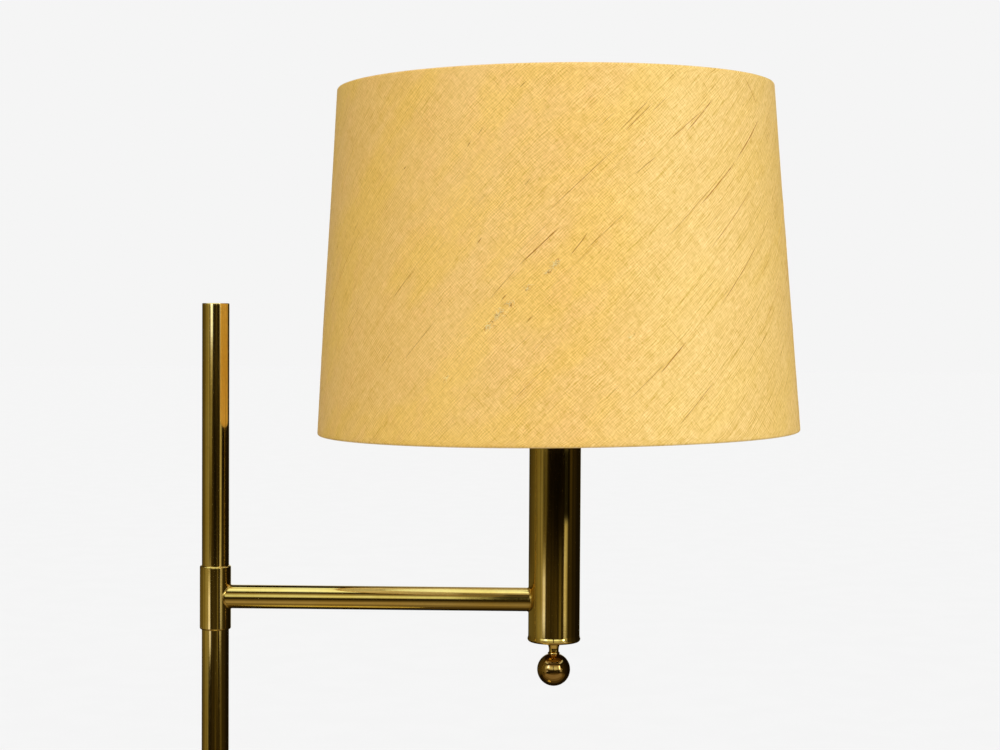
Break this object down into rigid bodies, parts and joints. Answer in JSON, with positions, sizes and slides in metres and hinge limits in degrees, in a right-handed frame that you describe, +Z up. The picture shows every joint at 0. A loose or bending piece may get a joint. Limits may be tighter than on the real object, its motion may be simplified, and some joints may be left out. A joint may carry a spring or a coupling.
{
  "type": "bridge floor lamp",
  "caption": "Bridge floor lamp: round weighted base, brass post, swivelling cross arm with a vertical head tube and ball dimmer knob, and a tapered silk shade above it.",
  "frame": {"origin": "centre of the base's underside, on the floor and on the post's axis", "axes": "+Z up along the post, +X from the post along the cross arm to the head, +Y behind the lamp as the picture sees it"},
  "size_m": [0.6875, 0.4484, 1.4806],
  "materials": {
    "felt": "pressed felt",
    "cast_iron": "raw casting, blackened",
    "brass": "polished and lightly aged, lacquered",
    "turned_brass": "turned, unpolished",
    "zinc_steel": "zinc plated",
    "black_steel": "blackened",
    "black_bakelite": "moulded phenolic, satin",
    "brown_insulation": "satin",
    "blue_insulation": "satin",
    "steatite": "unglazed",
    "contact_brass": "stamped, bright",
    "white_wire": "white enamel",
    "shade_film": "white matt film",
    "silk": "slubbed golden silk, bias cut",
    "bulb_cap_metal": "rolled thread, dull",
    "black_glass": "glossy black glass",
    "opal_glass": "opal, satin"
  },
  "bodies": {
    "stand": {"base_felt": "felt", "base_weight": "cast_iron", "base_cover": "brass", "base_washer": "zinc_steel", "base_nut": "zinc_steel", "cable_bush": "black_bakelite", "post_foot": "brass", "lower_post": "brass", "post_coupling": "turned_brass", "stop_pin": "zinc_steel", "upper_post": "brass", "post_cap": "brass"},
    "arm": {"collar_sleeve": "brass", "collar_screw": "black_steel", "arm_tube": "brass", "head_tube": "brass", "head_end_cap": "brass", "switch_nut": "zinc_steel", "switch_body": "black_bakelite", "switch_terminals": "contact_brass", "lead_live": "brown_insulation", "lead_neutral": "blue_insulation", "head_top_plate": "brass", "nipple": "zinc_steel", "nipple_nut": "zinc_steel", "lampholder_cap": "black_bakelite", "lampholder_body": "black_bakelite", "lampholder_insert": "steatite", "lampholder_screws": "contact_brass", "lampholder_shell": "contact_brass", "lampholder_contact": "contact_brass", "shade_ring_lower": "black_bakelite", "shade_ring_upper": "black_bakelite", "shade_carrier": "white_wire", "shade_top_ring": "white_wire", "shade_backing": "shade_film", "shade_fabric": "silk", "bulb_contact": "zinc_steel", "bulb_insulator": "black_glass", "bulb_cap": "bulb_cap_metal", "bulb_glass": "opal_glass"},
    "knob": {"switch_shaft": "zinc_steel", "knob_neck": "brass", "knob_ball": "brass", "knob_screw": "black_steel"}
  },
  "joints": [
    {"name": "arm_swivel", "type": "hinge", "parent": "stand", "child": "arm", "pos_m": [0, 0, 1], "axis": [0, 0, 1], "range_deg": [-160, 160]},
    {"name": "knob_turn", "type": "hinge", "parent": "arm", "child": "knob", "pos_m": [0.319, 0, 0.9345], "axis": [0, 0, 1], "range_deg": [0, 270]}
  ]
}
